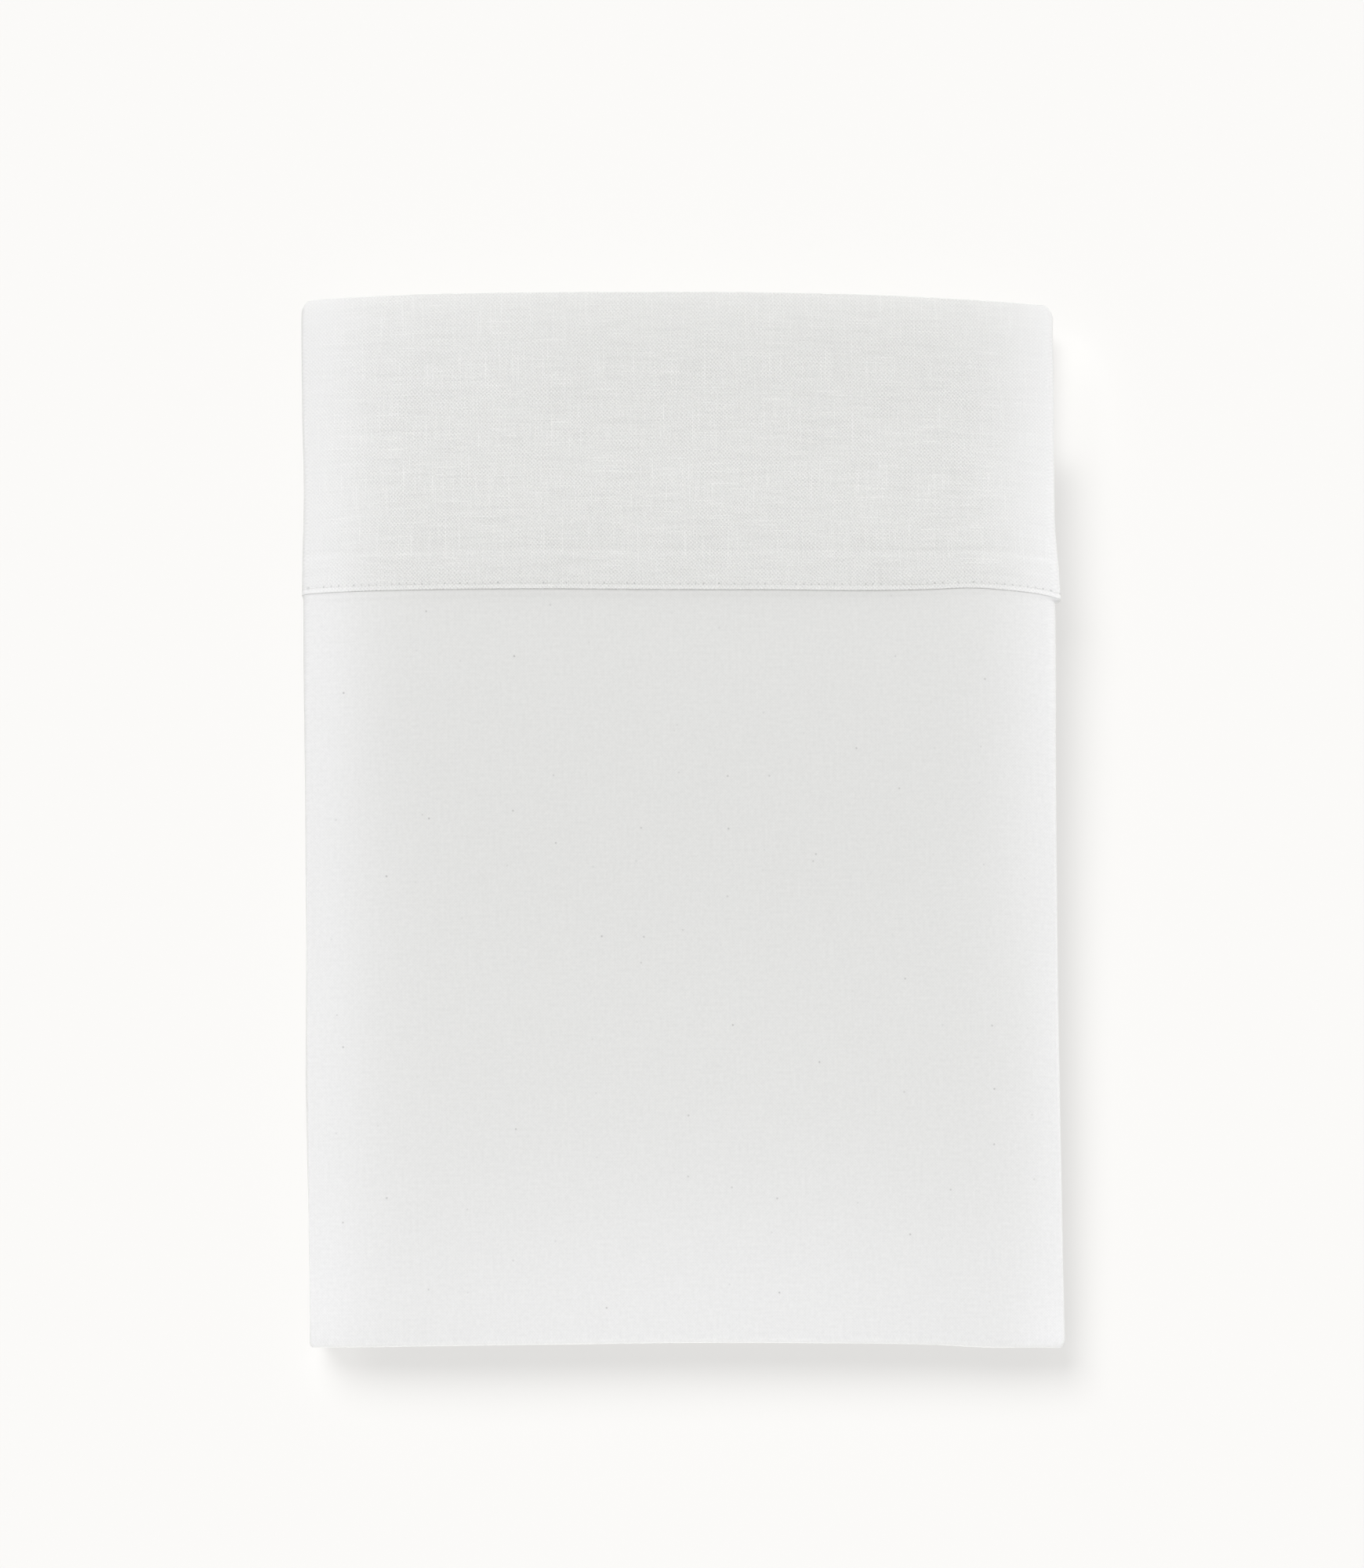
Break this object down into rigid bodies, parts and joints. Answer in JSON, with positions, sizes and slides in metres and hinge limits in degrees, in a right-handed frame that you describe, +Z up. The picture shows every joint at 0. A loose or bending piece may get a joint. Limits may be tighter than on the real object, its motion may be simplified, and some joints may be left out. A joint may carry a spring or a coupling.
{
  "type": "folded flat sheet",
  "caption": "White flat bed sheet with a stitched linen cuff, folded into a flat rectangular pile.",
  "frame": {"origin": "middle of the pile's underside", "axes": "+Z up from the surface it lies on; +Y along the pile, from the plain folded end to the cuff; +X to the right, along the cuff's seam"},
  "size_m": [0.2644, 0.3658, 0.0285],
  "materials": {
    "percale": "smooth matt cotton percale, fine plain weave, white",
    "linen": "matt washed linen, open plain weave with slubs, white"
  },
  "bodies": {
    "root": {"percale_body": "percale", "linen_cuff": "linen"}
  },
  "joints": []
}
